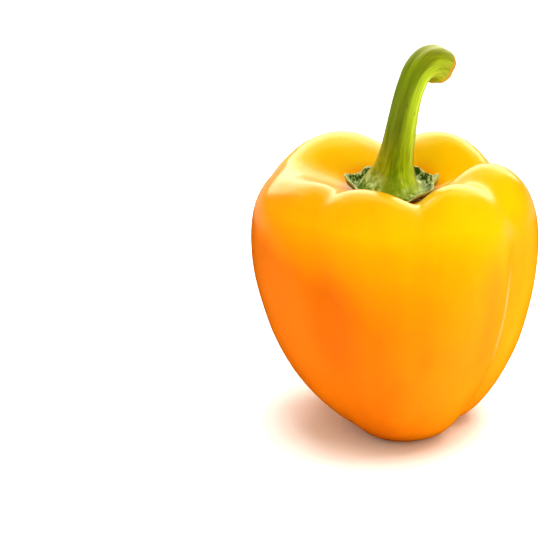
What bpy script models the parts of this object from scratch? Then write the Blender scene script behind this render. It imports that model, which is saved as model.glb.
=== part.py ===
"""A whole yellow bell pepper, picked with its stem, standing on the lobes of its blossom end.

Metres, +Z up. The origin is on the surface that the pepper stands on, under the middle of its bounding box.
The front is -Y. Angles round the fruit are in degrees, counted from the front towards +X.
"""

import math
from collections import namedtuple

import bmesh
import bpy
import numpy as np
from mathutils import Matrix, Vector

MM = 0.001

# Fruit
FRUIT_WIDTH = 88.0 * MM
FRUIT_HEIGHT = 85.8 * MM
LEAN = 4.0 * MM  # how far the shoulder stands towards -X of the foot
UPRIGHT_AT = 0.35  # share of the height that the lean leaves in place
FRUIT_COLUMNS = 48
FRUIT_RINGS = 24
FOOT_FLAT = 0.9 * MM  # depth that is pressed flat where a lobe stands on the surface

# The meridian from the stem cavity to the blossom end: shares of the half width and of the height
MERIDIAN = [
    (0.00, 0.859),
    (0.12, 0.859),
    (0.24, 0.864),
    (0.39, 0.928),
    (0.61, 1.000),
    (0.84, 0.945),
    (0.97, 0.835),
    (1.00, 0.700),
    (0.945, 0.485),
    (0.83, 0.310),
    (0.66, 0.150),
    (0.47, 0.035),
    (0.31, 0.000),
    (0.14, 0.030),
    (0.00, 0.055),
]

# The folds between the lobes. Angles and depths are given at the shoulder, half way down and at the foot;
# spread is the angle over which the skin rises out of the fold, and rounding how round its bottom is at the
# shoulder, both in degrees.
Fold = namedtuple("Fold", "shoulder side foot shoulder_depth side_depth foot_depth spread rounding")
FOLDS = [
    Fold(63, 58, 58, 4.6 * MM, 4.4 * MM, 5.5 * MM, 12, 9),
    Fold(109, 124, 128, 8.5 * MM, 1.2 * MM, 1.5 * MM, 14, 4),
    Fold(180, 184, 186, 8.0 * MM, 3.6 * MM, 5.5 * MM, 15, 4),
    Fold(-106, -106, -106, 3.4 * MM, 1.8 * MM, 3.0 * MM, 16, 12),
    Fold(-41, -30, -42, 3.7 * MM, 1.1 * MM, 1.2 * MM, 8, 3),
    Fold(13, 13, 16, 5.8 * MM, 0.2 * MM, 0.4 * MM, 11, 5),
]
FOLD_ROUNDING = 4.0  # how round the bottom of every fold is below the shoulder
SHOULDER_AT = 0.20  # shares of the way along the meridian
SIDE_AT = 0.52
FOOT_AT = 0.86
FOLD_STARTS = 0.03
FOLD_ENDS = 1.0

# Where a lobe stands out further or less far than the meridian: the middle in degrees and along the meridian,
# the amount, and how far it reaches in degrees and along
Swell = namedtuple("Swell", "angle along amount wide long")
SWELLS = [
    Swell(37, 0.18, 1.8 * MM, 20, 0.07),
    Swell(78, 0.16, 2.6 * MM, 17, 0.055),
    Swell(86, 0.25, 2.2 * MM, 18, 0.08),
    Swell(95, 0.50, -1.2 * MM, 36, 0.14),
    Swell(145, 0.18, 1.8 * MM, 26, 0.08),
    Swell(-142, 0.19, 1.6 * MM, 26, 0.08),
    Swell(-80, 0.18, -4.4 * MM, 23, 0.07),
    Swell(-80, 0.86, -4.2 * MM, 34, 0.09),
    Swell(-145, 0.93, 1.3 * MM, 34, 0.06),
    Swell(104, 0.93, 0.5 * MM, 24, 0.06),
]

# Calyx
CALYX_RADIUS = 12.8 * MM
CALYX_THICKNESS = 0.9 * MM
CALYX_GAP = 0.5 * MM  # clear of the skin below
CALYX_LIFT = 1.6 * MM  # how far the rim stands off the skin
CALYX_COLUMNS = 48
CALYX_RINGS = 7
Tip = namedtuple("Tip", "angle reach lift")
CALYX_TIPS = [
    Tip(-92, 5.8 * MM, 2.4 * MM),
    Tip(-56, 2.2 * MM, -0.6 * MM),
    Tip(28, 1.8 * MM, -0.6 * MM),
    Tip(66, 1.6 * MM, 0.4 * MM),
    Tip(97, 4.2 * MM, 2.4 * MM),
    Tip(140, 2.2 * MM, 1.4 * MM),
    Tip(-140, 2.6 * MM, 0.8 * MM),
]
TIP_SPREAD = 14  # degrees from a tip in which its point falls away
LIFT_SPREAD = 27  # degrees from a tip in which its lift falls away

# Stem
STEM_RIBS = 5
RIB_DEPTH = 0.05  # share of the radius
STEM_SIDES = 30
STEM_RINGS = 36
STEM_SEAT = 0.7 * MM  # clear of the calyx below
# The middle of the stem from its seat on the calyx to the cut end, and its radius there
Station = namedtuple("Station", "x y z radius")
STEM_LINE = [
    Station(-0.9, 0.0, 0.0, 6.6),
    Station(-0.9, 0.0, 1.4, 9.7),
    Station(-0.8, 0.0, 2.5, 8.7),
    Station(-0.6, 0.0, 4.2, 7.0),
    Station(-0.2, 0.0, 6.8, 5.7),
    Station(0.5, 0.0, 11.2, 5.0),
    Station(1.9, 0.0, 20.5, 4.35),
    Station(3.2, 0.1, 27.6, 4.1),
    Station(4.6, 0.5, 32.2, 4.1),
    Station(6.5, 1.3, 35.4, 4.3),
    Station(8.9, 2.6, 37.0, 4.8),
    Station(11.1, 4.2, 36.9, 5.25),
    Station(12.6, 5.7, 35.7, 5.25),
    Station(13.1, 6.2, 35.2, 4.6),
]

SKIN = {"color": (0.95, 0.50, 0.01, 1), "roughness": 0.28}
CALYX_GREEN = {"color": (0.10, 0.24, 0.05, 1), "roughness": 0.6}
STEM_GREEN = {"color": (0.27, 0.42, 0.04, 1), "roughness": 0.5}


def clear_scene():
    for obj in list(bpy.data.objects):
        bpy.data.objects.remove(obj, do_unlink=True)


def make_material(name, look):
    material = bpy.data.materials.new(name)
    material.use_nodes = True
    shader = material.node_tree.nodes["Principled BSDF"]
    shader.inputs["Base Color"].default_value = look["color"]
    shader.inputs["Roughness"].default_value = look["roughness"]
    shader.inputs["Metallic"].default_value = 0.0
    material.diffuse_color = look["color"]
    return material


def add_to(collection, name, mesh, material):
    obj = bpy.data.objects.new(name, mesh)
    collection.objects.link(obj)
    mesh.materials.append(material)
    mesh.shade_smooth()
    return obj


def curve_through(points, samples):
    """A smooth curve through the points, as a natural cubic spline over the distance between them."""
    points = np.array(points, float)
    at = np.concatenate([[0], np.cumsum(np.linalg.norm(np.diff(points, axis=0), axis=1))])
    gap = np.diff(at)
    count = len(points)
    system = np.eye(count)
    right = np.zeros_like(points)
    for i in range(1, count - 1):
        system[i, i - 1 : i + 2] = gap[i - 1], 2 * (gap[i - 1] + gap[i]), gap[i]
        right[i] = 6 * ((points[i + 1] - points[i]) / gap[i] - (points[i] - points[i - 1]) / gap[i - 1])
    bend = np.linalg.solve(system, right)
    where = np.linspace(0, at[-1], samples)
    i = np.clip(np.searchsorted(at, where) - 1, 0, count - 2)
    before = ((at[i + 1] - where) / gap[i])[:, None]
    after = 1 - before
    curve = (before**3 - before) * bend[i] + (after**3 - after) * bend[i + 1]
    return before * points[i] + after * points[i + 1] + curve * (gap[i] ** 2)[:, None] / 6


def meridian_table(samples=600):
    """Radius and height at even steps along the meridian, which is carried over the axis at both ends."""
    over_top = [(-r, z) for r, z in reversed(MERIDIAN[1:3])]
    under_foot = [(-r, z) for r, z in reversed(MERIDIAN[-3:-1])]
    whole = np.array(over_top + MERIDIAN + under_foot)
    curve = curve_through(whole * (FRUIT_WIDTH / 2, FRUIT_HEIGHT), 4 * samples)
    turns = np.flatnonzero(np.diff(np.sign(curve[:, 0])))
    curve = curve[turns[0] + 1 : turns[-1] + 1]
    length = np.concatenate([[0], np.cumsum(np.linalg.norm(np.diff(curve, axis=0), axis=1))])
    even = np.linspace(0, length[-1], samples)
    radius = np.interp(even, length, curve[:, 0])
    radius[[0, -1]] = 0
    return radius, np.interp(even, length, curve[:, 1]), length[-1]


RADII, HEIGHTS, MERIDIAN_LENGTH = meridian_table()
ALONG = np.linspace(0, 1, len(RADII))
SLOPE_R = np.gradient(RADII, ALONG)
SLOPE_Z = np.gradient(HEIGHTS, ALONG)


def eased(value, places, amounts):
    """The amount at a value between places, with a soft start and stop at each place."""
    i = int(np.clip(np.searchsorted(places, value) - 1, 0, len(places) - 2))
    t = min(1, max(0, (value - places[i]) / (places[i + 1] - places[i])))
    t = t * t * (3 - 2 * t)
    return amounts[i] * (1 - t) + amounts[i + 1] * t


def fold_angle(fold, along):
    return eased(along, (SHOULDER_AT, SIDE_AT, FOOT_AT), (fold.shoulder, fold.side, fold.foot))


def fold_depth(fold, along):
    places = (FOLD_STARTS, SHOULDER_AT, SIDE_AT, FOOT_AT, FOLD_ENDS)
    return eased(along, places, (0, fold.shoulder_depth, fold.side_depth, fold.foot_depth, 0))


def degrees_apart(a, b):
    return abs((a - b + 180) % 360 - 180)


def fold_shape(fold, around, along):
    """1 in the fold, falling away on both sides."""
    rounding = eased(along, (SHOULDER_AT, SIDE_AT), (fold.rounding, FOLD_ROUNDING))
    rounded = math.hypot(degrees_apart(around, fold_angle(fold, along)), rounding) - rounding
    return math.exp(-rounded / fold.spread)


def gather(around, along, table={}):
    """The angle of a column of the mesh, which stands closer to its neighbours at the folds."""
    key = round(along, 6)
    if key not in table:
        angles = np.arange(-180, 181)
        density = np.ones(len(angles))
        for fold in FOLDS:
            apart = np.abs((angles - fold_angle(fold, along) + 180) % 360 - 180)
            density += 1.6 * np.exp(-((apart / 9) ** 2))
        sums = np.concatenate([[0], np.cumsum((density[1:] + density[:-1]) / 2)])
        table[key] = sums / sums[-1] * 360 - 180, angles
    return float(np.interp(around, *table[key]))


def fruit_point(around, along, outward=0.0):
    """A point on or off the skin: around in degrees, and along the meridian from 0 at the stem to 1."""
    depth = sum(fold_depth(fold, along) * fold_shape(fold, around, along) for fold in FOLDS)
    for s in SWELLS:
        outward += s.amount * math.exp(
            -((degrees_apart(around, s.angle) / s.wide) ** 2) - ((along - s.along) / s.long) ** 2
        )
    radius = np.interp(along, ALONG, RADII)
    height = np.interp(along, ALONG, HEIGHTS)
    normal = np.array([-np.interp(along, ALONG, SLOPE_Z), np.interp(along, ALONG, SLOPE_R)])
    normal /= np.linalg.norm(normal)
    radius += normal[0] * (outward - depth)
    height += normal[1] * (outward - depth)
    turn = math.radians(around)
    x = radius * math.sin(turn) - LEAN * (height / FRUIT_HEIGHT - UPRIGHT_AT)
    return Vector((x, -radius * math.cos(turn), height))


def make_fruit(collection, material):
    """The skin from a coarse cage that is smoothed once, then pressed flat where it stands."""
    bm = bmesh.new()
    bmesh.ops.create_uvsphere(bm, u_segments=FRUIT_COLUMNS, v_segments=FRUIT_RINGS, radius=1)
    for vert in bm.verts:
        along = math.acos(max(-1, min(1, vert.co.z))) / math.pi
        around = math.degrees(math.atan2(vert.co.x, -vert.co.y))
        vert.co = fruit_point(gather(around, along), along)
    mesh = bpy.data.meshes.new("fruit")
    bm.to_mesh(mesh)
    bm.free()
    obj = add_to(collection, "fruit", mesh, material)
    modifier = obj.modifiers.new("Subdivision", "SUBSURF")
    modifier.levels = modifier.render_levels = 1
    graph = bpy.context.evaluated_depsgraph_get()
    obj.data = bpy.data.meshes.new_from_object(obj.evaluated_get(graph), depsgraph=graph)
    obj.modifiers.clear()
    bpy.data.meshes.remove(mesh)
    obj.data.name = "fruit"
    ground = min(vert.co.z for vert in obj.data.vertices) + FOOT_FLAT
    for vert in obj.data.vertices:
        vert.co.z = max(vert.co.z, ground) - ground
    return obj, ground


def calyx_reach(around):
    return CALYX_RADIUS + sum(
        tip.reach * math.exp(-degrees_apart(around, tip.angle) / TIP_SPREAD) for tip in CALYX_TIPS
    )


def calyx_lift(around, share):
    """How far the underside of the calyx is from the skin, close by the stem and lifted at the rim."""
    tips = sum(
        tip.lift * math.exp(-((degrees_apart(around, tip.angle) / LIFT_SPREAD) ** 2)) for tip in CALYX_TIPS
    )
    return CALYX_GAP + (CALYX_LIFT + tips) * share**6


def make_calyx(collection, material, ground):
    """A thin lobed saucer that follows the stem cavity."""
    bm = bmesh.new()
    bmesh.ops.create_uvsphere(bm, u_segments=CALYX_COLUMNS, v_segments=2 * CALYX_RINGS, radius=1)
    bmesh.ops.delete(bm, geom=[v for v in bm.verts if v.co.z < -0.001], context="VERTS")
    for vert in bm.verts:
        share = math.acos(max(-1, min(1, vert.co.z))) / (math.pi / 2)
        around = math.degrees(math.atan2(vert.co.x, -vert.co.y))
        along = share * calyx_reach(around) / MERIDIAN_LENGTH
        vert.co = fruit_point(around, along, calyx_lift(around, share)) - Vector((0, 0, ground))
    mesh = bpy.data.meshes.new("calyx")
    bm.to_mesh(mesh)
    bm.free()
    obj = add_to(collection, "calyx", mesh, material)
    shell = obj.modifiers.new("Thickness", "SOLIDIFY")
    shell.thickness = CALYX_THICKNESS
    shell.offset = 1
    return obj


def rib_outline():
    """The stem's cross-section, of radius 1 and with round ribs, as a closed curve that guides the bevel."""
    data = bpy.data.curves.new("stem_outline", "CURVE")
    data.dimensions = "2D"
    spline = data.splines.new("POLY")
    spline.points.add(STEM_SIDES - 1)
    for i, point in enumerate(spline.points):
        turn = -2 * math.pi * i / STEM_SIDES
        radius = 1 + RIB_DEPTH * math.cos(STEM_RIBS * turn)
        point.co = (radius * math.cos(turn), radius * math.sin(turn), 0, 1)
    spline.use_cyclic_u = True
    obj = bpy.data.objects.new("stem_outline", data)
    obj.hide_render = True
    obj.display_type = "WIRE"
    return obj


def make_stem(collection, guides, material, seat):
    outline = rib_outline()
    guides.objects.link(outline)
    line = curve_through([Vector(s) * MM for s in STEM_LINE], STEM_RINGS)
    data = bpy.data.curves.new("stem", "CURVE")
    data.dimensions = "3D"
    data.bevel_mode = "OBJECT"
    data.bevel_object = outline
    data.use_fill_caps = True
    data.twist_mode = "MINIMUM"
    spline = data.splines.new("POLY")
    spline.points.add(STEM_RINGS - 1)
    for point, (x, y, z, radius) in zip(spline.points, line):
        point.co = (*(seat + Vector((x, y, z))), 1)
        point.radius = radius
    data.materials.append(material)
    obj = bpy.data.objects.new("stem", data)
    collection.objects.link(obj)
    return obj


def centre_on_origin(collection, fruit):
    """Moves every node so that the fruit stands with the middle of its bounding box over the origin."""
    places = np.array([vert.co for vert in fruit.data.vertices])
    middle = (places.min(axis=0) + places.max(axis=0)) / 2
    for obj in collection.objects:
        obj.data.transform(Matrix.Translation((-middle[0], -middle[1], 0)))


def main():
    clear_scene()
    pepper = bpy.data.collections.new("bell_pepper")
    guides = bpy.data.collections.new("guides")
    for collection in (pepper, guides):
        bpy.context.scene.collection.children.link(collection)
    fruit, ground = make_fruit(pepper, make_material("pepper_skin", SKIN))
    make_calyx(pepper, make_material("calyx_green", CALYX_GREEN), ground)
    seat = fruit_point(0, 0, CALYX_GAP + CALYX_THICKNESS + STEM_SEAT) - Vector((0, 0, ground))
    make_stem(pepper, guides, make_material("stem_green", STEM_GREEN), seat)
    centre_on_origin(pepper, fruit)


main()
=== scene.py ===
import math

import bmesh
import bpy
import numpy as np
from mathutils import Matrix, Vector


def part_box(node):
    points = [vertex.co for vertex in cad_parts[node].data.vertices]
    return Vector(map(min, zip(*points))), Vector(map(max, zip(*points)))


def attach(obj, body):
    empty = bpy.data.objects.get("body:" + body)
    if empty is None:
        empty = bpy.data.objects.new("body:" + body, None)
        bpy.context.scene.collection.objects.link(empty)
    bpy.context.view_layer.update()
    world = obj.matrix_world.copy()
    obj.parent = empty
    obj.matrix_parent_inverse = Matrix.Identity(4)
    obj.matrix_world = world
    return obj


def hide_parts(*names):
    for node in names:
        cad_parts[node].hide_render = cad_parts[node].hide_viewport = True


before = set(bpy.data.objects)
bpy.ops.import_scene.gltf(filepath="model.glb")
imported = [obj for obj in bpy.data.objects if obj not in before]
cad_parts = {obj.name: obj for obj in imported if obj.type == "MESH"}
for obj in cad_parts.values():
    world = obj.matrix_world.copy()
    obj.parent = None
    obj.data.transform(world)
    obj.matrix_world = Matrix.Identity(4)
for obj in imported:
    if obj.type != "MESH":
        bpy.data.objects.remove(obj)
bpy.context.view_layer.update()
print("frame loaded")

mm = 0.001


# Helpers

def deselectAll():
    if bpy.context.mode != "OBJECT":
        bpy.ops.object.mode_set(mode="OBJECT")
    bpy.ops.object.select_all(action="DESELECT")


def startEditing(obj):
    deselectAll()
    obj.select_set(True)
    bpy.context.view_layer.objects.active = obj
    bpy.ops.object.mode_set(mode="EDIT")
    bpy.ops.mesh.select_mode(type="VERT")


def stopEditing():
    bpy.ops.object.mode_set(mode="OBJECT")


def selectVerts(obj, wanted):
    bm = bmesh.from_edit_mesh(obj.data)
    for vert in bm.verts:
        vert.select_set(bool(wanted(vert.co)))
    bm.select_flush_mode()
    bmesh.update_edit_mesh(obj.data)


def applyModifiers(obj):
    deselectAll()
    obj.select_set(True)
    bpy.context.view_layer.objects.active = obj
    for modifier in list(obj.modifiers):
        bpy.ops.object.modifier_apply(modifier=modifier.name)


def smoothMore(obj, levels):
    modifier = obj.modifiers.new("smooth", "SUBSURF")
    modifier.levels = modifier.render_levels = levels
    applyModifiers(obj)


def displace(obj, size, depth, direction="NORMAL", group="", detail=1):
    texture = bpy.data.textures.new(obj.name + "Relief", "CLOUDS")
    texture.noise_basis = "IMPROVED_PERLIN"
    texture.noise_scale = size
    texture.noise_depth = detail
    texture.contrast = 0.5  # keeps the noise from being cut off at its top
    modifier = obj.modifiers.new("relief", "DISPLACE")
    modifier.texture = texture
    modifier.texture_coords = "LOCAL"
    modifier.direction = direction
    modifier.strength = 2 * depth
    modifier.mid_level = 0.5
    modifier.vertex_group = group
    applyModifiers(obj)


def copyOfNode(node, name):
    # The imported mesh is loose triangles, so the copy is merged and turned back into quads
    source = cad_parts[node]
    piece = bpy.data.objects.new(name, source.data.copy())
    bpy.context.scene.collection.objects.link(piece)
    piece.data.materials.clear()
    startEditing(piece)
    bpy.ops.mesh.select_all(action="SELECT")
    bpy.ops.mesh.remove_doubles(threshold=0.01 * mm)
    flatness, squareness = math.radians(60), math.radians(75)
    bpy.ops.mesh.tris_convert_to_quads(face_threshold=flatness, shape_threshold=squareness)
    stopEditing()
    bpy.ops.mesh.customdata_custom_splitnormals_clear()
    bpy.ops.object.shade_smooth()
    return piece


def calyxPole():
    # The middle of the calyx, where most of its faces meet
    meeting = {}
    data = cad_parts["calyx"].data
    for face in data.polygons:
        for index in face.vertices:
            place = tuple(round(value, 6) for value in data.vertices[index].co)
            meeting[place] = meeting.get(place, 0) + 1
    return Vector(max(meeting, key=meeting.get))


def places(obj):
    return np.array([vert.co for vert in obj.data.vertices])


def push(obj, group, depth, direction="NORMAL"):
    # Moves the group's vertices, each by its weight
    modifier = obj.modifiers.new("push", "DISPLACE")
    modifier.direction = direction
    modifier.strength = depth
    modifier.mid_level = 0.0
    modifier.vertex_group = group
    applyModifiers(obj)


def keep(obj, name, values):
    # Values of the vertices that the material reads
    layer = obj.data.attributes.new(name, "FLOAT", "POINT")
    layer.data.foreach_set("value", np.asarray(values, np.float32))


def onBody(piece, slot, *nodes):
    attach(piece, "root")
    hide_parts(*nodes)


def newMaterial(name):
    material = bpy.data.materials.new(name)
    material.use_nodes = True
    tree = material.node_tree
    return material, tree, tree.nodes["Principled BSDF"]


def addNode(tree, kind, **settings):
    node = tree.nodes.new(kind)
    for key, value in settings.items():
        setattr(node, key, value)
    return node


def feed(tree, socket, source):
    # A number or colour is set on the socket, and an output is linked to it
    if isinstance(source, bpy.types.NodeSocket):
        tree.links.new(source, socket)
    else:
        socket.default_value = source


def mathNode(tree, operation, a, b=0.0, c=0.0, clamp=False):
    node = addNode(tree, "ShaderNodeMath", operation=operation, use_clamp=clamp)
    for socket, source in zip(node.inputs, (a, b, c)):
        feed(tree, socket, source)
    return node.outputs[0]


def noise(tree, vector, scale, detail=2.0, roughness=0.5, stretch=(1, 1, 1), distortion=0.0):
    mapping = addNode(tree, "ShaderNodeMapping")
    feed(tree, mapping.inputs["Vector"], vector)
    mapping.inputs["Scale"].default_value = stretch
    node = addNode(tree, "ShaderNodeTexNoise")
    feed(tree, node.inputs["Vector"], mapping.outputs[0])
    node.inputs["Scale"].default_value = scale
    node.inputs["Detail"].default_value = detail
    node.inputs["Roughness"].default_value = roughness
    node.inputs["Distortion"].default_value = distortion
    return node.outputs["Fac"]


def remap(tree, value, low, high, toLow=0.0, toHigh=1.0, smooth=True):
    node = addNode(tree, "ShaderNodeMapRange", interpolation_type="SMOOTHSTEP" if smooth else "LINEAR")
    for socket, source in zip(node.inputs, (value, low, high, toLow, toHigh)):
        feed(tree, socket, source)
    return node.outputs[0]


def band(tree, value, rise, fall, least=0.0):
    # Rises from 0 to 1 and falls to the least again
    return mathNode(tree, "MULTIPLY", remap(tree, value, *rise), remap(tree, value, *fall, 1.0, least))


def mixColour(tree, share, first, second, blend="MIX"):
    node = addNode(tree, "ShaderNodeMix", data_type="RGBA", blend_type=blend)
    feed(tree, node.inputs[0], share)
    feed(tree, node.inputs[6], first)
    feed(tree, node.inputs[7], second)
    return node.outputs[2]


def tint(tree, colour, share, most, other):
    # Turns the colour towards another one, by no more than the most
    return mixColour(tree, mathNode(tree, "MULTIPLY", share, most), colour, (*other, 1))


def attribute(tree, name, output="Fac"):
    return addNode(tree, "ShaderNodeAttribute", attribute_name=name).outputs[output]


def splitPlace(tree, place):
    node = addNode(tree, "ShaderNodeSeparateXYZ")
    feed(tree, node.inputs[0], place)
    return node.outputs


def fromAxis(tree, place):
    # Distance from the Z axis
    flat = addNode(tree, "ShaderNodeVectorMath", operation="MULTIPLY")
    feed(tree, flat.inputs[0], place)
    flat.inputs[1].default_value = (1, 1, 0)
    node = addNode(tree, "ShaderNodeVectorMath", operation="LENGTH")
    feed(tree, node.inputs[0], flat.outputs[0])
    return node.outputs["Value"]


def setShader(shader, settings):
    for name, value in settings.items():
        shader.inputs[name].default_value = value


def ramp(tree, value, stops):
    node = addNode(tree, "ShaderNodeValToRGB")
    elements = node.color_ramp.elements
    while len(elements) < len(stops):
        elements.new(0.5)
    for element, (place, colour) in zip(elements, stops):
        element.position = place
        element.color = (*colour, 1)
    feed(tree, node.inputs[0], value)
    return node.outputs[0]


def bump(tree, height, distance, strength=1.0, below=None):
    node = addNode(tree, "ShaderNodeBump")
    node.inputs["Strength"].default_value = strength
    node.inputs["Distance"].default_value = distance
    feed(tree, node.inputs["Height"], height)
    if below is not None:
        feed(tree, node.inputs["Normal"], below)
    return node.outputs[0]


# Camera, at the photo's angle and framing

camera = {
    "elevation": 23.0,  # degrees above level
    "distance": 0.75,
    "pixel": 0.3018 * mm,  # what a pixel covers at that distance
    "frame": 554,
    "footX": 391,  # where the pepper stands in the frame
    "footY": 418,
    "sensor": 36.0,
    "clip": (0.01, 20),
}


def makeCamera():
    tilt = math.radians(camera["elevation"])
    right = Vector((1, 0, 0))
    back = Vector((0, -math.cos(tilt), math.sin(tilt)))
    up = back.cross(right)
    middle = camera["frame"] / 2
    aside = (middle - camera["footX"]) * camera["pixel"]
    above = (camera["footY"] - middle) * camera["pixel"]
    target = right * aside + up * above
    data = bpy.data.cameras.new("camera")
    data.sensor_width = camera["sensor"]
    data.lens = camera["sensor"] * camera["distance"] / (camera["frame"] * camera["pixel"])
    data.clip_start, data.clip_end = camera["clip"]
    obj = bpy.data.objects.new("camera", data)
    bpy.context.scene.collection.objects.link(obj)
    obj.rotation_mode = "QUATERNION"
    obj.location = target + back * camera["distance"]
    obj.rotation_quaternion = (-back).to_track_quat("-Z", "Y")
    bpy.context.scene.camera = obj


makeCamera()
print("camera set")


# Studio: a white floor in a white box, and a bright wall behind that gives the gloss

studio = {
    "floorSize": 2.7,  # ends inside the box, so that the white behind it shows in low views
    "floorColour": (0.95, 0.945, 0.94, 1),
    "boxColour": (1.0, 0.97, 0.68),
    "glossColour": (1.0, 0.95, 0.74),
    "shadeColour": (0.98, 0.87, 0.66),  # of the light in the shadow
    # the sides of the box light the surfaces but don't show in their gloss: place, size, brightness
    "box": {
        "boxTop": ((0, 0, 1.4), (2.8, 2.8), 1.12),
        "boxFront": ((0, -1.4, 0.7), (2.8, 1.4), 0.60),
        "boxBack": ((0, 1.4, 0.7), (2.8, 1.4), 1.30),
        "boxLeft": ((-1.4, 0, 0.7), (2.8, 1.4), 0.80),
        "boxRight": ((1.4, 0, 0.7), (2.8, 1.4), 0.80),
        "key": ((0.45, -0.05, 0.85), (0.70, 0.70), 1.3),
        "high": ((-0.10, -0.55, 0.95), (0.80, 0.60), 1.9),
    },
    # these show in the gloss alone
    "gloss": {
        "wallBehind": ((0, 1.10, 0.53), (1.8, 0.72), 5.6),
        "wallUpper": ((0, 0.95, 1.25), (2.0, 0.9), 4.2),
        "floorBehind": ((0, 0.95, 0.002), (3.0, 1.5), 0.6),
    },
    # these fall on the floor alone
    "floor": {
        "floorLight": ((0.16, 0.06, 1.10), (1.15, 1.15), 8.2),
        "floorTop": ((0, 0, 1.4), (2.8, 2.8), 0.90),
        "floorFront": ((0, -1.4, 0.7), (2.8, 1.4), 1.15),
        "floorLeft": ((-1.4, 0, 0.7), (2.8, 1.4), 0.90),
        "floorRight": ((1.4, 0, 0.7), (2.8, 1.4), 1.30),
    },
    "middle": (0, 0, 0.05),
    "backdrop": 1.2,  # brightness of the white behind the floor
    "paper": {"Roughness": 0.9, "Specular IOR Level": 0.1},
    "grain": (900, 0.05 * mm, 0.3),  # scale of the paper's grain, its depth and strength
}


def makeSoftbox(name, place, size, brightness, aim=None):
    data = bpy.data.lights.new(name, "AREA")
    data.shape = "RECTANGLE"
    data.size, data.size_y = size
    data.energy = brightness * math.pi * size[0] * size[1]
    obj = bpy.data.objects.new(name, data)
    bpy.context.scene.collection.objects.link(obj)
    obj.location = place
    obj.rotation_mode = "QUATERNION"
    direction = Vector(aim or studio["middle"]) - Vector(place)
    obj.rotation_quaternion = direction.to_track_quat("-Z", "Y")
    obj.visible_camera = False
    return obj


def facingLevel(place):
    # The four sides of the box face the middle levelly, and the others point at the pepper
    return (0, 0, place[2]) if abs(max(place[:2], key=abs)) > 1 else None


def makeWorld():
    world = bpy.data.worlds.new("studio")
    world.use_nodes = True
    bpy.context.scene.world = world
    tree = world.node_tree
    background = tree.nodes["Background"]
    background.inputs["Color"].default_value = (1, 1, 1, 1)
    path = addNode(tree, "ShaderNodeLightPath")
    strength = mathNode(tree, "MULTIPLY", path.outputs["Is Camera Ray"], studio["backdrop"])
    feed(tree, background.inputs["Strength"], strength)


def makeFloor():
    deselectAll()
    bpy.ops.mesh.primitive_plane_add(size=studio["floorSize"], location=(0, 0, 0))
    floor = bpy.context.active_object
    floor.name = "floor"
    material, tree, shader = newMaterial("paperWhite")
    place = addNode(tree, "ShaderNodeTexCoord").outputs["Object"]
    scale, depth, strength = studio["grain"]
    setShader(shader, {"Base Color": studio["floorColour"], **studio["paper"]})
    feed(tree, shader.inputs["Normal"], bump(tree, noise(tree, place, scale), depth, strength))
    floor.data.materials.append(material)
    floor.visible_glossy = False
    return floor


def makeStudio():
    bpy.context.scene.view_settings.view_transform = "Standard"
    bpy.context.scene.view_settings.look = "None"
    makeWorld()
    floor = makeFloor()
    alone = bpy.data.collections.new("floorAlone")
    alone.objects.link(floor)
    others = bpy.data.collections.new("allButFloor")
    others.objects.link(floor)
    others.collection_objects[0].light_linking.link_state = "EXCLUDE"
    for name, (place, size, brightness) in studio["box"].items():
        side = makeSoftbox(name, place, size, brightness, facingLevel(place))
        side.visible_glossy = False
        side.data.color = studio["boxColour"]
        side.light_linking.receiver_collection = others
    for name, (place, size, brightness) in studio["gloss"].items():
        up = (place[0], place[1], 1) if place[2] < 0.01 else None
        wall = makeSoftbox(name, place, size, brightness, up)
        wall.visible_diffuse = False
        wall.data.color = studio["glossColour"]
    for name, (place, size, brightness) in studio["floor"].items():
        above = makeSoftbox(name, place, size, brightness, facingLevel(place))
        above.visible_glossy = False
        above.light_linking.receiver_collection = alone
        if name != "floorLight":
            above.data.color = studio["shadeColour"]


makeStudio()
print("studio set")


pole = calyxPole()


# Skin of the fruit

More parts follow.
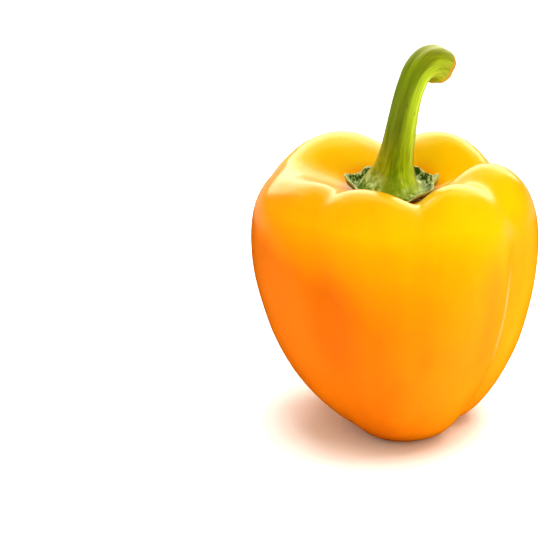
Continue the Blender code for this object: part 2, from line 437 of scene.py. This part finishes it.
skin = {
    "smoothing": 2,
    "swell": (26 * mm, 0.9 * mm),  # size and depth of the slow unevenness
    "ripple": (9 * mm, 0.16 * mm),
    "pressed": 0.05 * mm,  # what stands lower than this is pressed flat
    # the colour for each step of ripeness, which also carries painted shade
    "colours": [
        (0.00, (0.58, 0.11, 0.001)),
        (0.14, (0.68, 0.15, 0.001)),
        (0.34, (0.80, 0.222, 0.001)),
        (0.60, (0.86, 0.315, 0.001)),
        (0.92, (0.88, 0.50, 0.001)),
    ],
    # how the colour turns yellower with the height, partly ripeness and partly painted shade that is
    # deepest low down: at the foot, height of the top, rise and its power
    "unripe": 0.205,
    "topHeight": 74 * mm,
    "rise": (0.64, 4.2),
    # how it rises to the right, with painted shade on the left: from where, per metre at the foot, and
    # the change to that at the top
    "acrossFrom": 5 * mm,
    "across": (12.5, -5.0),
    "behind": (-12 * mm, 18 * mm, 1.0, 0.25),  # where that fades at the back, and what is left of it
    "slow": (26, 0.24),  # scale of the slow noise, and how much it changes the ripeness
    "streak": (120, 0.18),
    "streakShape": (1, 1, 0.22),
    "back": (0.0, 26 * mm, 0.0, 0.16),  # painted light: where the back is made yellower, and how much
    "farRightShade": (26 * mm, 40 * mm, 0.0, 0.32),  # painted shade: where the far right shoulder is made more orange again, and how much
    "least": 0.10,
    # painted shade in shallow valleys: degrees round the fruit, how far they reach, and how much it
    # takes off the ripeness
    "valleys": [(-29.0, 16.0, 0.13), (38.0, 10.0, 0.12), (8.0, 7.0, 0.05)],
    "valleyShadeHeights": ((18 * mm, 45 * mm), (52 * mm, 74 * mm)),
    # painted shade round the calyx, under its rim: distances from its middle, height, and how much
    "cavity": (0.76, 0.12, 0.001),
    "cavityAt": ((11.5 * mm, 18 * mm), (50 * mm, 60 * mm), 0.70),
    # creases in the bottom of the folds: degrees at the shoulder and below, width, depth
    "creases": [
        (63, 58, 5, 1.1 * mm), (180, 185, 5, 1.2 * mm), (-106, -106, 5, 0.8 * mm),
        (-34, -27, 6, 0.5 * mm), (40, 39, 6, 0.25 * mm),
    ],
    "creaseHeights": (4 * mm, 14 * mm, 52 * mm, 66 * mm),
    "shoulder": (50 * mm, 70 * mm),  # where the folds turn to their places at the shoulder
    # a painted highlight beside the fold at the right: degrees before the fold, and width
    "paleAndHighlight": (1.0, 0.64, 0.21),
    "paleHighlightMost": 0.95,
    "paleHighlightLine": (7.0, 1.9),
    "paleHighlightWidest": (37 * mm, 6 * mm, 0.6),  # height, reach and how much wider it is there
    "paleHighlightHeights": (3 * mm, 9 * mm, 50 * mm, 60 * mm),
    "lean": 0.0466,  # how far the middle moves to the left for each unit of height
    "scar": (0.16, 0.075, 0.02),
    "scarSize": (1.2 * mm, 3.4 * mm),
    "scarHeights": (20 * mm, 30 * mm),
    "scarEdge": (900, 1.6 * mm),  # scale and depth of its uneven edge
    "pores": (700, 0.03 * mm, 0.5),
    "shader": {
        "Roughness": 0.21,
        "Specular IOR Level": 0.2,
        "Specular Tint": (1.0, 0.72, 0.02, 1),
        "Subsurface Weight": 0.25,
        "Subsurface Radius": (1.0, 0.45, 0.08),
        "Subsurface Scale": 4 * mm,
    },
}


def ripenessAndShadeNodes(tree, place):
    # Ripeness and painted shade: orange low on the left, where the painted shade is deepest, to yellow
    # high on the right, broken up by noise
    x, y, z = splitPlace(tree, place)
    rise, power = skin["rise"]
    height = mathNode(tree, "DIVIDE", z, skin["topHeight"], clamp=True)
    height = mathNode(tree, "POWER", height, power)
    ripenessAndShade = mathNode(tree, "MULTIPLY_ADD", height, rise, skin["unripe"])
    aside = mathNode(tree, "SUBTRACT", x, skin["acrossFrom"])
    aside = mathNode(tree, "MULTIPLY", aside, remap(tree, y, *skin["behind"]))
    low, change = skin["across"]
    across = mathNode(tree, "MULTIPLY_ADD", height, change, low)
    ripenessAndShade = mathNode(tree, "MULTIPLY_ADD", aside, across, ripenessAndShade)
    slow = noise(tree, place, skin["slow"][0], detail=2)
    streak = noise(tree, place, skin["streak"][0], detail=3, stretch=skin["streakShape"])
    for uneven, much in ((slow, skin["slow"][1]), (streak, skin["streak"][1])):
        ripenessAndShade = mathNode(tree, "SUBTRACT", ripenessAndShade, much / 2)
        ripenessAndShade = mathNode(tree, "MULTIPLY_ADD", uneven, much, ripenessAndShade)
    # Painted light: the back is made yellower
    ripenessAndShade = mathNode(tree, "ADD", ripenessAndShade, remap(tree, y, *skin["back"]))
    # Painted shade: the shoulder at the far right is made more orange
    farShade = mathNode(tree, "MULTIPLY", remap(tree, x, *skin["farRightShade"]), height)
    ripenessAndShade = mathNode(tree, "SUBTRACT", ripenessAndShade, farShade)
    ripenessAndShade = mathNode(tree, "MAXIMUM", ripenessAndShade, skin["least"])
    # Painted shade: the shallow valleys are made more orange
    around = attribute(tree, "around")
    tall = band(tree, z, *skin["valleyShadeHeights"])
    for middle, reach, less in skin["valleys"]:
        apart = mathNode(tree, "ABSOLUTE", mathNode(tree, "SUBTRACT", around, middle))
        valleyShade = mathNode(tree, "MULTIPLY", remap(tree, apart, 0.0, reach, 1.0, 0.0), tall)
        ripenessAndShade = mathNode(tree, "MULTIPLY_ADD", valleyShade, -less, ripenessAndShade)
    return ripenessAndShade


def skinMaterial():
    material, tree, shader = newMaterial("pepperSkin")
    place = addNode(tree, "ShaderNodeTexCoord").outputs["Object"]
    z = splitPlace(tree, place)[2]
    # The ripeness, with its painted shade, is turned to colour
    colour = ramp(tree, ripenessAndShadeNodes(tree, place), skin["colours"])
    # Painted highlight: a pale line beside the fold at the right
    colour = tint(tree, colour, attribute(tree, "paleAndHighlight"), skin["paleHighlightMost"], skin["paleAndHighlight"])
    # Painted shade: deeper orange round the calyx, under its rim
    near, high, most = skin["cavityAt"]
    cavity = remap(tree, attribute(tree, "fromPole"), *near, 1.0, 0.0)
    cavity = mathNode(tree, "MULTIPLY", cavity, remap(tree, z, *high))
    colour = tint(tree, colour, cavity, most, skin["cavity"])
    # The blossom scar, in the dimple under the middle
    scale, depth = skin["scarEdge"]
    uneven = noise(tree, place, scale, detail=3)
    off = mathNode(tree, "MULTIPLY_ADD", uneven, depth, fromAxis(tree, place))
    scar = remap(tree, z, *skin["scarHeights"], 1.0, 0.0)
    scar = mathNode(tree, "MULTIPLY", scar, remap(tree, off, *skin["scarSize"], 1.0, 0.0))
    colour = tint(tree, colour, scar, 1.0, skin["scar"])
    feed(tree, shader.inputs["Base Color"], colour)
    scale, depth, strength = skin["pores"]
    feed(tree, shader.inputs["Normal"], bump(tree, noise(tree, place, scale, detail=2), depth, strength))
    setShader(shader, skin["shader"])
    return material


def degreesAround(points, pole):
    # Degrees round the leaning middle, from the front towards +X
    middle = pole.x + skin["lean"] * (pole.z - points[:, 2])
    return np.degrees(np.arctan2(points[:, 0] - middle, pole.y - points[:, 1]))


def creaseFolds(fruit, pole):
    # Draws the skin in along the bottom of the folds
    points = places(fruit)
    around = degreesAround(points, pole)
    heights = points[:, 2]
    share = np.interp(heights, skin["creaseHeights"], (0, 1, 1, 0))
    share = share * share * (3 - 2 * share)
    rise = np.interp(heights, skin["shoulder"], (0, 1))
    group = fruit.vertex_groups.new(name="creases")
    deepest = max(crease[3] for crease in skin["creases"])
    weight = np.zeros(len(points))
    for shoulder, side, width, depth in skin["creases"]:
        line = side + (shoulder - side) * rise
        apart = (around - line + 180) % 360 - 180
        weight += np.exp(-(apart / width) ** 2) * share * depth / deepest
    for index in np.flatnonzero(weight > 0.001):
        group.add([int(index)], float(min(weight[index], 1)), "REPLACE")
    push(fruit, "creases", -deepest)


def paleHighlightShare(fruit, pole):
    # How much painted highlight each vertex has, for the line beside the first of the folds
    points = places(fruit)
    shoulder, side = skin["creases"][0][:2]
    before, width = skin["paleHighlightLine"]
    widest, reach, wider = skin["paleHighlightWidest"]
    heights = points[:, 2]
    line = side - before + (shoulder - side) * np.interp(heights, skin["shoulder"], (0, 1))
    wide = width * (1 + wider * np.exp(-((heights - widest) / reach) ** 2))
    fade = np.interp(heights, skin["paleHighlightHeights"], (0, 1, 1, 0))
    return np.exp(-((degreesAround(points, pole) - line) / wide) ** 2) * fade


def makeFruit(pole):
    fruit = copyOfNode("fruit", "fruit_skin")
    smoothMore(fruit, skin["smoothing"])
    creaseFolds(fruit, pole)
    displace(fruit, *skin["swell"])
    displace(fruit, *skin["ripple"])
    # The lobes are pressed flat where they stand
    startEditing(fruit)
    selectVerts(fruit, lambda place: place.z < skin["pressed"])
    bpy.ops.transform.resize(value=(1, 1, 0), center_override=(0, 0, 0))
    stopEditing()
    keep(fruit, "around", degreesAround(places(fruit), pole))
    keep(fruit, "paleAndHighlight", paleHighlightShare(fruit, pole))
    flat = places(fruit)[:, :2] - np.array(pole)[:2]
    keep(fruit, "fromPole", np.hypot(flat[:, 0], flat[:, 1]))
    fruit.vertex_groups.clear()
    fruit.data.materials.append(skinMaterial())
    onBody(fruit, "pepper_skin", "fruit")
    return fruit


fruit = makeFruit(pole)
print("fruit made", len(fruit.data.polygons))


# Calyx

calyxLook = {
    "smoothing": 2,
    "wave": (4.5 * mm, 1.3 * mm),
    "crinkle": (1.7 * mm, 0.55 * mm),
    "dark": (0.035, 0.075, 0.003),
    "green": (0.11, 0.20, 0.006),
    "fresh": (0.20, 0.32, 0.04),
    # the pale green of the rim and of the lightest mottles, partly a painted highlight
    "paleAndHighlight": (0.62, 0.74, 0.38),
    "under": (0.09, 0.15, 0.02),
    # the lighter greens of the mottles stand partly for painted highlights on the crinkles
    "thin": 0.55 * mm,  # how far the underside is drawn up to the rim
    "mottles": (0.43, 0.48, 0.51, 0.54),  # where the noise turns to each of the four greens
    "patches": (820, 0.6 * mm, 0.8),  # scale, and depth and strength of their relief
    "veins": (1300, 0.15 * mm, 0.7),
    "veinDark": (0.45, 0.60),
    "veinMost": 0.5,
    "underMost": 0.7,
    # the pale rim is partly the leaf's own paler edge, partly a painted highlight
    "rim": (0.965, 0.985),  # where the pale rim begins, as a share of the way out
    "rimMost": 0.8,
    "roughness": (0.3, 0.7, 0.38, 0.60),
    "shader": {"Specular IOR Level": 0.3, "Specular Tint": (0.9, 1.0, 0.5, 1)},
    "sectors": 90,  # in which the rim's distance is measured
}


def edgeShare(obj, pole):
    # Share of the way from the stem to the rim, kept for the material and for the crinkles
    count = calyxLook["sectors"]
    points = places(obj)
    across = np.hypot(points[:, 0] - pole.x, points[:, 1] - pole.y)
    angles = np.arctan2(points[:, 1] - pole.y, points[:, 0] - pole.x)
    bins = ((angles + np.pi) / (2 * np.pi) * count).astype(int) % count
    reach = np.array([across[bins == i].max() for i in range(count)])
    centres = (np.arange(count) + 0.5) / count * 2 * np.pi - np.pi
    limit = np.interp(angles, centres, reach, period=2 * np.pi)
    return np.clip(across / limit, 0, 1)


def greens(stops):
    names = ("dark", "green", "fresh", "paleAndHighlight")
    return [(stop, calyxLook[name]) for stop, name in zip(stops, names)]


def calyxMaterial():
    material, tree, shader = newMaterial("calyxLeaf")
    place = addNode(tree, "ShaderNodeTexCoord").outputs["Object"]
    patchScale, patchDepth, patchStrength = calyxLook["patches"]
    veinScale, veinDepth, veinStrength = calyxLook["veins"]
    patches = noise(tree, place, patchScale, detail=3, roughness=0.6, distortion=0.6)
    veins = noise(tree, place, veinScale, detail=3, roughness=0.7)
    # The lighter mottles stand partly for painted highlights on the crinkles
    colour = ramp(tree, patches, greens(calyxLook["mottles"]))
    dark = remap(tree, veins, *calyxLook["veinDark"])
    colour = tint(tree, colour, dark, calyxLook["veinMost"], calyxLook["dark"])
    # The underside is plainer than the top
    colour = tint(tree, colour, attribute(tree, "under"), calyxLook["underMost"], calyxLook["under"])
    # The pale rim: partly the leaf's own paler edge, partly a painted highlight
    rim = remap(tree, attribute(tree, "edge"), *calyxLook["rim"])
    colour = tint(tree, colour, rim, calyxLook["rimMost"], calyxLook["paleAndHighlight"])
    feed(tree, shader.inputs["Base Color"], colour)
    feed(tree, shader.inputs["Roughness"], remap(tree, patches, *calyxLook["roughness"]))
    fine = bump(tree, veins, veinDepth, veinStrength)
    feed(tree, shader.inputs["Normal"], bump(tree, patches, patchDepth, patchStrength, below=fine))
    setShader(shader, calyxLook["shader"])
    return material


def makeCalyx(pole):
    calyx = copyOfNode("calyx", "calyx_leaf")
    smoothMore(calyx, calyxLook["smoothing"])
    edge = edgeShare(calyx, pole)
    group = calyx.vertex_groups.new(name="loose")
    for index, share in enumerate(edge):
        group.add([index], float(share ** 2), "REPLACE")
    facing = np.array([vert.normal.z for vert in calyx.data.vertices])
    below = calyx.vertex_groups.new(name="below")
    for index in np.flatnonzero(facing < 0):
        below.add([int(index)], float(edge[index] ** 6), "REPLACE")
    push(calyx, "below", calyxLook["thin"], "Z")
    displace(calyx, *calyxLook["wave"], direction="Z", group="loose")
    displace(calyx, *calyxLook["crinkle"], group="loose", detail=2)
    keep(calyx, "edge", edge)
    keep(calyx, "under", facing < -0.1)
    calyx.vertex_groups.clear()
    calyx.data.materials.append(calyxMaterial())
    onBody(calyx, "calyx_green", "calyx")
    return calyx


calyx = makeCalyx(pole)
print("calyx made", len(calyx.data.polygons))


# Stem: shaped standing straight, then bent along its line

stemLook = {
    "sides": 40,
    "smoothing": 2,
    # valleys between the ribs: degrees round the stem, how deep as a share, and how wide
    "valleys": [(-92, 0.09, 14), (-28, 0.06, 12), (40, 0.07, 14), (118, 0.08, 16), (-165, 0.07, 15)],
    # height up the stem and radius there, in mm
    "rings": [
        (0.0, 6.4), (0.3, 8.8), (0.8, 9.9), (1.3, 9.8), (1.9, 9.0), (2.9, 7.85), (4.2, 6.8),
        (5.8, 6.0), (8.2, 5.4), (11.3, 4.98), (15.5, 4.62), (20.7, 4.33), (26.0, 4.12),
        (30.0, 4.08), (33.0, 4.12), (36.0, 4.3),
        (38.5, 4.6), (41.0, 5.1), (43.0, 5.5), (44.8, 5.65), (46.0, 5.5), (46.8, 5.15),
    ],
    # the cut end: how far past the last ring, and radius
    "cut": [(0.50, 4.6), (0.90, 3.9), (1.05, 3.1), (0.90, 2.3), (0.80, 1.1)],
    # the flare's lowest part at the front right is drawn out
    "spread": {
        "place": (6.5 * mm, -5.5 * mm, 75.0 * mm),
        "near": 3.2 * mm,
        "move": (0.7 * mm, -2.2 * mm, -0.8 * mm),
        "size": 6 * mm,
    },
    # places along its middle, from its seat on the calyx, in mm
    "line": [
        (-0.9, 0.0, 0.0), (-0.9, 0.0, 2.5), (-0.6, 0.0, 4.5), (-0.2, 0.0, 6.8), (0.5, 0.0, 11.2),
        (1.9, 0.0, 20.5), (3.2, 0.1, 27.6), (4.6, 0.5, 32.2), (6.2, 1.3, 35.4), (8.2, 2.6, 37.0),
        (10.2, 4.2, 36.9), (11.7, 5.7, 35.7), (12.2, 6.2, 35.2), (13.0, 7.0, 34.3),
    ],
    # share of a turn from the back by the left, and the colour there; the light stop at the front right
    # is a painted highlight along the right edge
    "around": [
        (0.00, (0.24, 0.33, 0.004)),
        (0.24, (0.38, 0.39, 0.03)),
        (0.30, (0.34, 0.35, 0.003)),
        (0.40, (0.32, 0.34, 0.002)),
        (0.45, (0.24, 0.33, 0.001)),
        (0.49, (0.16, 0.27, 0.001)),
        (0.53, (0.25, 0.38, 0.004)),
        (0.56, (0.36, 0.50, 0.007)),
        (0.62, (0.40, 0.57, 0.012)),
        (0.67, (0.56, 0.72, 0.05)),
        (0.71, (0.38, 0.50, 0.02)),
        (0.78, (0.38, 0.36, 0.02)),
        (0.88, (0.22, 0.32, 0.004)),
        (1.00, (0.24, 0.33, 0.004)),
    ],
    "green": (0.15, 0.215, 0.003),
    "knob": (0.27, 0.28, 0.005),
    "brown": (0.46, 0.25, 0.012),
    "bloom": (0.56, 0.64, 0.34),
    "speck": (0.07, 0.09, 0.004),
    "rim": (0.50, 0.24, 0.015),
    "cutFace": (0.42, 0.47, 0.16),
    # noise along the stem: scale, detail, roughness and stretch
    "fibres": (1500, 3, 0.6, (1, 1, 0.04)),
    "strands": (430, 2, 0.5, (1, 1, 0.05)),
    "blotch": (160, 3, 0.5, (1, 1, 0.5)),
    "mottle": (620, 3, 0.6, (1, 1, 1)),
    "specks": (900, 2, 0.5, (1, 1, 0.35)),
    "wander": 0.09,  # how far the colours wander round the stem
    "streaks": (0.9, 0.5),  # how much the fibres and the strands count in them
    "light": (0.45, 0.95, 0.50, 1.30),
    # where each tone lies: turns round the stem, heights, and how much of it
    "front": 0.49,
    "darkTurn": (0.49, 0.56, 1.0, 0.12),
    "darkHeights": ((8 * mm, 20 * mm), (38 * mm, 44 * mm), 0.3),
    "knobHeights": (35 * mm, 42 * mm),
    "knobMost": 0.6,
    "brownSides": (0.17, 0.25),
    "brownHeights": ((3 * mm, 6 * mm), (10 * mm, 22 * mm)),
    "brownMost": 0.6,
    "flare": (2.2 * mm, 6.5 * mm, 1.0, 0.0),
    "flareMost": 0.52,
    "bloomMottle": (0.42, 0.58),
    "bloomSides": (0.03, 0.09),
    "bloomTurn": (0.56, 0.64, 0.6, 0.3),
    "footHeights": (1.4 * mm, 4.2 * mm, 1.0, 0.0),
    "footSides": (0.05, 0.12),
    "footMost": 0.85,
    "footMottles": (0.40, 0.47, 0.54, 0.60),
    "speckAt": (0.66, 0.74),
    "speckMost": 0.55,
    # the rim of the cut: its uneven edge, how far it lies from the last ring, and how much
    "rimEdge": 1.2 * mm,
    "rimFrom": (-2.9 * mm, -1.3 * mm),
    "rimMost": 0.85,
    # its pale middle: uneven edge, radius, and how far it lies from the last ring
    "cutEdge": 0.8 * mm,
    "cutRadius": (4.1 * mm, 4.7 * mm, 1.0, 0.0),
    "cutFrom": (-0.6 * mm, -0.3 * mm),
    "relief": (0.22 * mm, 0.7),
    "roughness": (0.3, 0.7, 0.36, 0.5),
    "shader": {
        "Specular IOR Level": 0.28,
        "Specular Tint": (1.0, 0.95, 0.3, 1),
        "Subsurface Weight": 0.1,
        "Subsurface Radius": (0.7, 1.0, 0.2),
        "Subsurface Scale": 1.5 * mm,
    },
    "measured": (12 * mm, 1 * mm),  # where the turn of the bent stem is measured
}


def addRing(height, radius, last):
    bpy.ops.mesh.extrude_region_move(TRANSFORM_OT_translate={"value": (0, 0, (height - last[0]) * mm)})
    share = radius / last[1]
    bpy.ops.transform.resize(value=(share, share, 1), center_override=(0, 0, height * mm))
    return height, radius


def shapeStem():
    sides = stemLook["sides"]
    rings = stemLook["rings"]
    deselectAll()
    bpy.ops.mesh.primitive_circle_add(vertices=sides, radius=rings[0][1] * mm, location=(0, 0, 0))
    stem = bpy.context.active_object
    stem.name = "stem_stalk"
    startEditing(stem)
    # The valleys are drawn in on the first ring, and every later ring takes them over
    for middle, depth, wide in stemLook["valleys"]:
        for reach, part in ((1.0, 0.45), (0.5, 0.55)):
            def near(place):
                angle = math.degrees(math.atan2(place.y, place.x))
                return abs((angle - middle + 180) % 360 - 180) < wide * reach
            selectVerts(stem, near)
            inward = 1 - depth * part
            bpy.ops.transform.resize(value=(inward, inward, 1), center_override=(0, 0, 0))
    bpy.ops.mesh.select_all(action="SELECT")
    last = rings[0]
    for height, radius in rings[1:]:
        last = addRing(height, radius, last)
    top = rings[-1][0]
    for past, radius in stemLook["cut"]:
        last = addRing(top + past, radius, last)
    bpy.ops.mesh.merge(type="CENTER")
    # The underside is closed the same way
    selectVerts(stem, lambda place: place.z < 0.01 * mm)
    bpy.ops.mesh.extrude_region_move(TRANSFORM_OT_translate={"value": (0, 0, 0)})
    bpy.ops.transform.resize(value=(0.5, 0.5, 1), center_override=(0, 0, 0))
    bpy.ops.mesh.extrude_region_move(TRANSFORM_OT_translate={"value": (0, 0, 0)})
    bpy.ops.mesh.merge(type="CENTER")
    bpy.ops.mesh.select_all(action="SELECT")
    bpy.ops.mesh.normals_make_consistent(inside=False)
    stopEditing()
    bpy.ops.object.shade_smooth()
    smoothMore(stem, stemLook["smoothing"])
    return stem


def bendStem(stem, pole):
    data = bpy.data.curves.new("stemLine", "CURVE")
    data.dimensions = "3D"
    data.twist_mode = "MINIMUM"
    data.resolution_u = 24
    spline = data.splines.new("BEZIER")
    spline.bezier_points.add(len(stemLook["line"]) - 1)
    seat = Vector((pole.x, pole.y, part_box("stem")[0].z))
    for point, (x, y, z) in zip(spline.bezier_points, stemLook["line"]):
        point.co = seat + Vector((x, y, z)) * mm
        point.handle_left_type = point.handle_right_type = "AUTO"
    guide = bpy.data.objects.new("stemLine", data)
    bpy.context.scene.collection.objects.link(guide)
    modifier = stem.modifiers.new("bend", "CURVE")
    modifier.object = guide
    modifier.deform_axis = "POS_Z"
    applyModifiers(stem)
    bpy.data.objects.remove(guide)


def spreadFoot(stem):
    # The flare runs down onto the calyx at the front right
    look = stemLook["spread"]
    startEditing(stem)
    selectVerts(stem, lambda place: (place - Vector(look["place"])).length < look["near"])
    bpy.ops.transform.translate(
        value=look["move"], use_proportional_edit=True, proportional_edit_falloff="SMOOTH",
        proportional_size=look["size"], use_proportional_connected=True,
    )
    stopEditing()


def stemMaterial():
    look = stemLook
    material, tree, shader = newMaterial("stemGreen")
    straight = attribute(tree, "straight", "Vector")
    x, y, z = splitPlace(tree, straight)
    names = ("fibres", "strands", "blotch", "mottle", "specks")
    fibres, strands, blotch, mottle, specks = [noise(tree, straight, *look[name]) for name in names]
    # The colour round the stem: share of a turn from the back, with the front at a half; its light stop
    # at the front right is a painted highlight along the right edge
    turn = mathNode(tree, "ARCTAN2", x, mathNode(tree, "MULTIPLY", y, -1.0))
    turn = mathNode(tree, "MULTIPLY_ADD", turn, 0.5 / math.pi, 0.5)
    uneven = mathNode(tree, "SUBTRACT", strands, 0.5)
    turn = mathNode(tree, "MULTIPLY_ADD", uneven, look["wander"], turn)
    fromFront = mathNode(tree, "ABSOLUTE", mathNode(tree, "SUBTRACT", turn, look["front"]))
    colour = ramp(tree, turn, look["around"])
    # Darker and greener on the left higher up
    upper = band(tree, z, *look["darkHeights"])
    colour = tint(tree, colour, remap(tree, turn, *look["darkTurn"]), upper, look["green"])
    # Yellower towards the cut end, brown at the sides lower down
    colour = tint(tree, colour, remap(tree, z, *look["knobHeights"]), look["knobMost"], look["knob"])
    side = remap(tree, fromFront, *look["brownSides"])
    brown = mathNode(tree, "MULTIPLY", side, band(tree, z, *look["brownHeights"]))
    colour = tint(tree, colour, brown, look["brownMost"], look["brown"])
    # Fibres and strands, lighter and darker
    fibreShare, strandShare = look["streaks"]
    streaks = mathNode(tree, "MULTIPLY", strands, strandShare)
    streaks = mathNode(tree, "MULTIPLY_ADD", fibres, fibreShare, streaks)
    light = remap(tree, streaks, *look["light"], smooth=False)
    shade = addNode(tree, "ShaderNodeCombineColor")
    for socket in shade.inputs[:3]:
        feed(tree, socket, light)
    colour = mixColour(tree, 1.0, colour, shade.outputs[0], blend="MULTIPLY")
    # A powdery bloom on both sides of the flare, which is darker under it
    low = remap(tree, z, *look["flare"])
    colour = tint(tree, colour, low, look["flareMost"], look["green"])
    bloom = mathNode(tree, "MULTIPLY", low, remap(tree, mottle, *look["bloomMottle"]))
    bloom = mathNode(tree, "MULTIPLY", bloom, remap(tree, fromFront, *look["bloomSides"]))
    colour = tint(tree, colour, bloom, remap(tree, turn, *look["bloomTurn"]), look["bloom"])
    # The foot's sides are dark and mottled like the calyx that they grow out of; their lighter mottles
    # stand partly for painted highlights
    foot = remap(tree, z, *look["footHeights"])
    foot = mathNode(tree, "MULTIPLY", foot, remap(tree, fromFront, *look["footSides"]))
    foot = mathNode(tree, "MULTIPLY", foot, look["footMost"])
    colour = mixColour(tree, foot, colour, ramp(tree, mottle, greens(look["footMottles"])))
    # Dark specks, the brown rim of the cut and its pale middle
    dark = remap(tree, specks, *look["speckAt"])
    colour = tint(tree, colour, dark, look["speckMost"], look["speck"])
    past = mathNode(tree, "SUBTRACT", z, look["rings"][-1][0] * mm)
    uneven = mathNode(tree, "SUBTRACT", blotch, 0.5)
    rim = mathNode(tree, "MULTIPLY_ADD", uneven, look["rimEdge"], past)
    colour = tint(tree, colour, remap(tree, rim, *look["rimFrom"]), look["rimMost"], look["rim"])
    off = mathNode(tree, "MULTIPLY_ADD", fibres, look["cutEdge"], fromAxis(tree, straight))
    cut = remap(tree, past, *look["cutFrom"])
    colour = tint(tree, colour, remap(tree, off, *look["cutRadius"]), cut, look["cutFace"])
    feed(tree, shader.inputs["Base Color"], colour)
    feed(tree, shader.inputs["Roughness"], remap(tree, blotch, *look["roughness"]))
    feed(tree, shader.inputs["Normal"], bump(tree, streaks, *look["relief"]))
    setShader(shader, look["shader"])
    return material


def facingFront(straight, bent):
    # The bend turns the stem about its length, so the straight places are turned by as much
    height, reach = stemLook["measured"]
    ring = np.abs(straight[:, 2] - height) < reach
    before = straight[ring][:, 0] + 1j * straight[ring][:, 1]
    after = bent[ring][:, 0] + 1j * bent[ring][:, 1]
    turn = np.mean((after - after.mean()) * np.conj(before - before.mean()))
    turned = (straight[:, 0] + 1j * straight[:, 1]) * turn / abs(turn)
    return np.stack([turned.real, turned.imag, straight[:, 2]], axis=1)


def makeStem(pole):
    stem = shapeStem()
    straight = places(stem)
    bendStem(stem, pole)
    straight = facingFront(straight, places(stem))
    spreadFoot(stem)
    layer = stem.data.attributes.new("straight", "FLOAT_VECTOR", "POINT")
    layer.data.foreach_set("vector", straight.astype(np.float32).ravel())
    stem.data.materials.append(stemMaterial())
    onBody(stem, "stem_green", "stem")
    return stem


stem = makeStem(pole)
print("stem made", len(stem.data.polygons))
